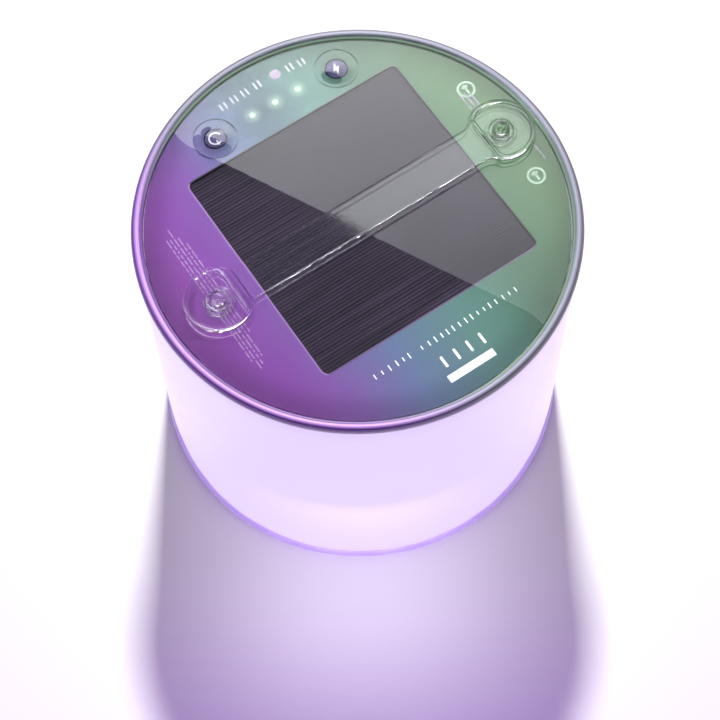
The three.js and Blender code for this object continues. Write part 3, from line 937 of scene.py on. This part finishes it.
# a thin pale lip round the window, where the panel is sealed into its seat
sealOuter = squareOutline(window["side"] + 0.5, window["corner"] + 0.2, panelCentre)
panelSeal = cutSheet("panelSeal", sealOuter, 105.8, 106.46, edge=0.12, edgeSteps=2)
sealInner = squareOutline(window["side"] - 0.4, window["corner"] - 0.2, panelCentre)
sealCutter = cutSheet("cutter", sealInner, 104, 108)
combine(panelSeal, sealCutter, "DIFFERENCE")
smoothByAngle(panelSeal, 35)
evenNormals(panelSeal)


def buildSealMaterial():
    # a dark sealant, with the light from the glow below painted along two of its sides
    material, nodes, links, shader, place = startMaterial("sealant", (0.02, 0.02, 0.03), 0.5, specular=0.1)
    addGrain(nodes, links, shader, place, 900, 0.5, 0.1, 0.00001)
    axes = addAxes(nodes, links, place)
    sides = []
    for axis, limit, weight in (("X", -0.0325, 1.0), ("Y", -0.0338, 0.45)):
        side = addMath(nodes, links, "LESS_THAN", axes[axis], limit)
        sides.append(addMath(nodes, links, "MULTIPLY", side, weight))
    most = addMath(nodes, links, "MAXIMUM", *sides)
    stops = [(0.0, (0.010, 0.011, 0.016)), (1.0, (0.180, 0.110, 0.260))]
    links.new(addRamp(nodes, links, most, stops), shader.inputs["Base Color"])
    return material


sealant = buildSealMaterial()
dress(panelSeal, sealant, "head")

print("panel built")

# Buttons, their symbols and the domes over them

button = {"radius": 3.1, "flange": 4.2, "lowZ": 101.9, "flangeTop": 102.8, "topZ": 106.5, "crown": 0.25}


def buildButton(name, side):
    profile = roundCorners(
        [(0, button["lowZ"]), (button["flange"], button["lowZ"]), (button["flange"], button["flangeTop"]),
         (button["radius"], button["flangeTop"]), (button["radius"], button["topZ"] - button["crown"]),
         (1.6, button["topZ"]), (0, button["topZ"])], 0.35, 4)
    return spinProfile(name, profile, 64, moduleAt(side * buttonX, buttonY))


def buildPowerSymbol():
    heights = (106.45, 106.56)
    centre = (-buttonX, buttonY)
    arc = ringMark(2.0, 1.62, centre, 290, 305, heights)
    stem = cutSheet("stem", roundCorners([(0.2, -0.7), (-0.2, -0.7), (-0.2, -2.3), (0.2, -2.3)], 0.15, 3),
                    *heights, at=moduleAt(*centre))
    return joinPieces("powerSymbol", [arc, stem])


def buildBoltSymbol():
    outline = [(0.55, 2.0), (-1.15, -0.35), (-0.15, -0.35), (-0.6, -2.0), (1.1, 0.35), (0.12, 0.35)]
    return cutSheet("boltSymbol", outline, 106.45, 106.56, at=moduleAt(buttonX, buttonY))


def buildMembrane(name, side):
    # a broad, shallow dome that runs out flat into the film
    radius, rise, film = membrane["radius"], membrane["rise"], membrane["film"]
    steps = 16
    shares = [k / steps for k in range(steps + 1)]
    under = [(radius * k / steps, sheet["lowZ"] + rise * (1 - shares[k] ** 2) ** 2) for k in range(steps + 1)]
    over = [(r, z + film) for r, z in reversed(under)]
    return spinProfile(name, under + over, 72, moduleAt(side * buttonX, buttonY))


darkest = (0.028, 0.026, 0.045)
buttonInk, nodes, links, shader, place = startMaterial("buttonInk", darkest, 0.75, specular=0.03)
addGrain(nodes, links, shader, place, 900, 0.6, 0.12, 0.00002)
buttonTones = ((0.030, 0.027, 0.070), (0.050, 0.047, 0.105))
addTint(nodes, links, place, buttonTones, 260, shader.inputs["Base Color"])
symbolInk = moulded("symbolInk", ((0.50, 0.49, 0.56), (0.60, 0.59, 0.66)), 0.6, specular=0.1)

for name, side, buildSymbol in (("power", -1, buildPowerSymbol), ("level", 1, buildBoltSymbol)):
    cap = buildButton(name + "Cap", side)
    dress(cap, buttonInk, name + "_button", name + "_button")
    symbol = buildSymbol()
    dress(symbol, symbolInk, name + "_button")
    dome = buildMembrane(name + "Membrane", side)
    dress(dome, clearSheet, "head", name + "_membrane")
    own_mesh(dome)

print("buttons built")

# Strap

strap = {
    "reach": 47.6,
    "width": 11.5,
    "headRadius": 10.0,
    "flat": 5.8,  # from a snap to the straight side of its head
    "lowZ": 108.15,
    "floorZ": 108.75,
    "bandZ": 109.5,
    "rim": 0.68,  # radius of the raised rim round each head
    "rimZ": 109.2,
    "hole": 2.5,
    "shoulder": 4.2,
    "creaseX": -40.05,
}


def headOutline(radius, flat, count=56):
    sweep = math.degrees(math.acos(-flat / radius))
    return arcPoints(radius, -sweep, sweep, count, (strap["reach"], 0))


def softened(points, count, rounds):
    # the same closed outline in evenly spaced points, with its corners eased
    ends = [Vector(point) for point in points] + [Vector(points[0])]
    lengths = [(ends[k + 1] - ends[k]).length for k in range(len(points))]
    total, index, passed, even = sum(lengths), 0, 0.0, []
    for step in range(count):
        target = total * step / count
        while passed + lengths[index] < target:
            passed += lengths[index]
            index += 1
        even.append(ends[index].lerp(ends[index + 1], (target - passed) / lengths[index]))
    for _ in range(rounds):
        even = [even[k - 1] / 4 + even[k] / 2 + even[(k + 1) % count] / 4 for k in range(count)]
    return [(point.x, point.y) for point in even]


def flipX(points):
    return [(-x, y) for x, y in reversed(points)]


def strapOutline():
    # Half of the strap from +Y round its +X end to -Y; the other end is its mirror.
    radius, flat, half = strap["headRadius"], strap["flat"], strap["width"] / 2
    flatX = strap["reach"] - flat
    wide = math.sqrt(radius ** 2 - flat ** 2)
    flare = []
    for step in range(9):
        s = step / 8
        flare.append((flatX - strap["shoulder"] * (1 - s), half + (wide - half) * s ** 3))
    upper = list(reversed(flare))
    lower = [(x, -y) for x, y in flare]
    arc = headOutline(radius, flat)[1:-1]
    right = lower + arc + upper
    left = [(-x, -y) for x, y in right]
    return right + left


def moved(points):
    return [moduleAt(x, y) for x, y in points]


def closedTube(name, path, radius, centreZ, sides=14):
    # a round rim that follows a closed outline
    deselectAll()
    bpy.ops.mesh.primitive_circle_add(vertices=len(path) * sides, radius=1, fill_type="NOTHING")
    piece = bpy.context.object
    piece.name = name
    count = len(path)
    mesh = bmesh.new()
    rings = []
    for index in range(count):
        here = Vector(path[index])
        ahead = Vector(path[(index + 1) % count]) - here
        behind = here - Vector(path[index - 1])
        heading = (ahead.normalized() + behind.normalized()).normalized()
        outward = Vector((heading.y, -heading.x))
        ring = []
        for side in range(sides):
            turn = 2 * math.pi * side / sides
            reach = radius * math.cos(turn)
            ring.append(mesh.verts.new(((here.x + outward.x * reach) * mm, (here.y + outward.y * reach) * mm,
                                        (centreZ + radius * math.sin(turn)) * mm)))
        rings.append(ring)
    for index in range(count):
        first, second = rings[index], rings[(index + 1) % count]
        for side in range(sides):
            following = (side + 1) % sides
            mesh.faces.new((first[side], first[following], second[following], second[side]))
    bmesh.ops.recalc_face_normals(mesh, faces=mesh.faces)
    mesh.to_mesh(piece.data)
    mesh.free()
    return piece


def buildStrap(name, keepSide):
    band = cutSheet(name, moved(strapOutline()), strap["lowZ"], strap["bandZ"], edge=0.5, edgeSteps=5)
    for mirror in (False, True):
        inset = strap["rim"] + 0.08
        rimPath = softened(headOutline(strap["headRadius"] - inset, strap["flat"] - inset * 0.6), 72, 5)
        recessRadius = strap["headRadius"] - inset - 0.25
        recess = softened(headOutline(recessRadius, strap["flat"] - inset * 0.6 - 0.25), 72, 5)
        if mirror:
            rimPath, recess = flipX(rimPath), flipX(recess)
        cutter = cutSheet("cutter", moved(recess), strap["floorZ"], strap["rimZ"] + 1, edge=0.25)
        combine(band, cutter, "DIFFERENCE")
        combine(band, closedTube("rim", moved(rimPath), strap["rim"], strap["rimZ"]), "UNION")
        holeX = -strap["reach"] if mirror else strap["reach"]
        hole = cutSheet("cutter", moved(arcPoints(strap["hole"], 0, 352.5, 48, (holeX, 0))), 107, 111)
        combine(band, hole, "DIFFERENCE")
    editPiece(band)
    bpy.ops.mesh.select_all(action="SELECT")
    crease = (strap["creaseX"] + 0.12 * keepSide) * mm + moduleX
    bpy.ops.mesh.bisect(plane_co=(crease, 0, 0), plane_no=(1, 0, 0), use_fill=True,
                        clear_inner=keepSide > 0, clear_outer=keepSide < 0)
    bpy.ops.mesh.select_all(action="SELECT")
    bpy.ops.mesh.remove_doubles(threshold=0.003 * mm)
    leaveEdit()
    smoothByAngle(band, 40)
    evenNormals(band)
    return band


def buildCollar(name, x):
    # the turned-up edge of the strap round a snap
    profile = roundCorners([(2.5, 108.3), (3.7, 108.3), (3.7, 109.05), (3.2, 109.45), (2.5, 109.45)], 0.3, 4)
    return spinProfile(name, profile, 48, moduleAt(x, 0))


def buildPost(name, x):
    profile = roundCorners(
        [(0, 107.25), (4.8, 107.25), (4.6, 107.8), (2.2, 108.0), (1.9, 108.6), (2.3, 109.3), (2.1, 109.8),
         (1.5, 110.0), (1.1, 109.9), (0.8, 109.5), (0, 109.35)], 0.25, 4)
    return spinProfile(name, profile, 48, moduleAt(x, 0))


strapLong = buildStrap("strapLong", 1)
strapShort = buildStrap("strapShort", -1)
freeCollar = buildCollar("freeCollar", strap["reach"])
fixedCollar = buildCollar("fixedCollar", -strap["reach"])
for piece, body, node in ((strapLong, "strap", "strap_band"), (strapShort, "head", "strap_anchor_end"),
                          (freeCollar, "strap", "strap_band"), (fixedCollar, "head", "strap_anchor_end")):
    dress(piece, clearMoulding, body, node)
posts = (("freePost", "strap_post_free", strap["reach"]), ("fixedPost", "strap_post_fixed", -strap["reach"]))
for name, node, x in posts:
    post = buildPost(name, x)
    dress(post, clearMoulding, "head", node)

print("strap built")

# Base film and valve

softPvc = clearPlastic("softPvc", (0.90, 0.92, 0.95), 0.22, 500, 0.00003)


def buildBaseFilm():
    radii = [6.7, 12, 20, 30, 40, 48, 54, 57.5, 59.2, 60.1]
    under = [(r, 2.0 + 0.25 * math.exp(-(60.1 - r) / 2.5)) for r in radii]
    over = [(r, z + 0.45) for r, z in reversed(under)]
    piece = spinProfile("baseFilm", under + over, 128)
    waves = randomWaves(14, 70, 8)
    for vertex in piece.data.vertices:
        x, y, z = vertex.co
        radius = math.hypot(x, y) / mm
        turn = math.atan2(y, x)
        fade = math.exp(-abs(57 - radius) / 4.5) * min(1, (60.2 - radius) / 2)
        vertex.co.z += 0.10 * mm * fade * sum(w * math.sin(n * turn + p) for n, p, w in waves) / 2
    smoothByAngle(piece, 60)
    return piece


baseFilm = buildBaseFilm()
dress(baseFilm, clearSheet, "base", "bottom_film")

flangeProfile = roundCorners([(6.4, 2.7), (14, 2.7), (14, 3.0), (9.0, 3.5), (6.4, 3.5)], 0.25, 3)
valveFlange = spinProfile("valveFlange", flangeProfile, 72)
dress(valveFlange, softPvc, "base", "valve_flange")

tubeProfile = roundCorners([(4.6, 1.2), (6.0, 1.2), (6.0, 8.6), (4.6, 8.6)], 0.3, 3)
valveTube = spinProfile("valveTube", tubeProfile, 64)
lug = cutSheet("lug", roundCorners([(9.4, 2), (4.9, 2), (4.9, -2), (9.4, -2)], 0.5, 3), 1.2, 1.8, edge=0.12)
combine(valveTube, lug, "UNION")
dress(valveTube, softPvc, "base", "valve_tube")

flapProfile = roundCorners([(0, 8.66), (5.6, 8.66), (5.6, 9.1), (4.4, 9.15), (4.0, 9.0), (0, 9.0)], 0.12, 3)
valveFlap = spinProfile("valveFlap", flapProfile, 64)
dress(valveFlap, softPvc, "valve_flap", "valve_flap")


def buildPlug():
    cap = spinProfile("plugCap", roundCorners(
        [(0, 0.35), (2.2, 0.35), (2.6, 0.55), (3.6, 0.55), (4.0, 0.32), (6.6, 0.32), (6.6, 1.08), (4.4, 1.1),
         (4.35, 2.2), (4.2, 2.6), (4.3, 3.2), (3.75, 5.55), (2.6, 5.6), (2.4, 2.0), (0, 1.9)], 0.22, 3), 64)
    strip = cutSheet("strip", roundCorners([(9.4, 2), (6.0, 2.4), (6.0, -2.4), (9.4, -2)], 0.4, 3),
                     0.32, 1.08, edge=0.15)
    pull = cutSheet("pull", roundCorners([(-5.9, 2.6), (-9.0, 1.6), (-9.0, -1.6), (-5.9, -2.6)], 0.7, 4),
                    0.32, 1.08, edge=0.15)
    combine(cap, strip, "UNION")
    combine(cap, pull, "UNION")
    cap.name = "valvePlug"
    smoothByAngle(cap, 35)
    return cap


valvePlug = buildPlug()
dress(valvePlug, softPvc, "valve_plug", "valve_plug")

print("valve built")

# Finishes on the parts carried over

finishes = {
    "module_cover": moulded("coverPlastic", ((0.16, 0.12, 0.26), (0.20, 0.15, 0.31)), 0.4),
    "solar_backplate": moulded("laminate", ((0.035, 0.033, 0.04), (0.05, 0.047, 0.055)), 0.5),
    "circuit_board": moulded("boardLacquer", ((0.012, 0.10, 0.045), (0.016, 0.13, 0.055)), 0.3, 700),
    "reflector_sheet": moulded("whiteSheet", ((0.85, 0.85, 0.84), (0.90, 0.90, 0.89)), 0.55),
    "battery_cell": moulded("foilWrap", ((0.55, 0.56, 0.58), (0.62, 0.63, 0.65)), 0.3, 1200, 0.00004, 0.8),
    "battery_pad": moulded("foam", ((0.08, 0.08, 0.09), (0.13, 0.13, 0.14)), 0.9, 2500, 0.0002),
}
finishes["lens_tray"] = clearPlastic("clearTray", (0.95, 0.96, 0.98), 0.12, 400, 0.00004)
finishes["pocket_film"] = clearSheet
chipPlastic = moulded("chipPlastic", ((0.02, 0.02, 0.022), (0.035, 0.035, 0.038)), 0.5)
screwSteel = moulded("screwSteel", ((0.60, 0.60, 0.61), (0.70, 0.70, 0.71)), 0.28, 1500, 0.00001, 1.0)
redWire = moulded("redWire", ((0.45, 0.02, 0.015), (0.55, 0.03, 0.02)), 0.4)
blackWire = moulded("blackWire", ((0.012, 0.012, 0.013), (0.02, 0.02, 0.022)), 0.4)
ledLens, nodes, links, shader, place = startMaterial("litLed", (0.9, 0.88, 0.95), 0.3)
addGrain(nodes, links, shader, place, 900, 0.3, 0.1, 0.00002)
shader.inputs["Emission Color"].default_value = (0.55, 0.30, 1.0, 1)
shader.inputs["Emission Strength"].default_value = 2.0

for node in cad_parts:
    name = node if isinstance(node, str) else node["name"]
    finish = finishes.get(name)
    if name.startswith(("colour_led", "gauge_led")):
        finish = ledLens
    elif name.startswith("housing_screw"):
        finish = screwSteel
    elif name.endswith("lead_red"):
        finish = redWire
    elif name.endswith("lead_black"):
        finish = blackWire
    elif name in ("control_chip", "charge_chip", "driver_coil", "power_switch", "level_switch"):
        finish = chipPlastic
    part = bpy.data.objects.get(name)
    if finish is not None and part is not None:
        part.data.materials.clear()
        part.data.materials.append(finish)

print("finishes set")

scene = bpy.context.scene
scene.view_settings.view_transform = "Standard"
scene.cycles.use_denoising = True
scene.cycles.max_bounces = 16
scene.cycles.transmission_bounces = 16
scene.cycles.transparent_max_bounces = 24

for name in ("strapLong", "strapShort", "freeCollar", "fixedCollar", "freePost", "fixedPost"):
    glossPieces.objects.link(bpy.data.objects[name])

deselectAll()
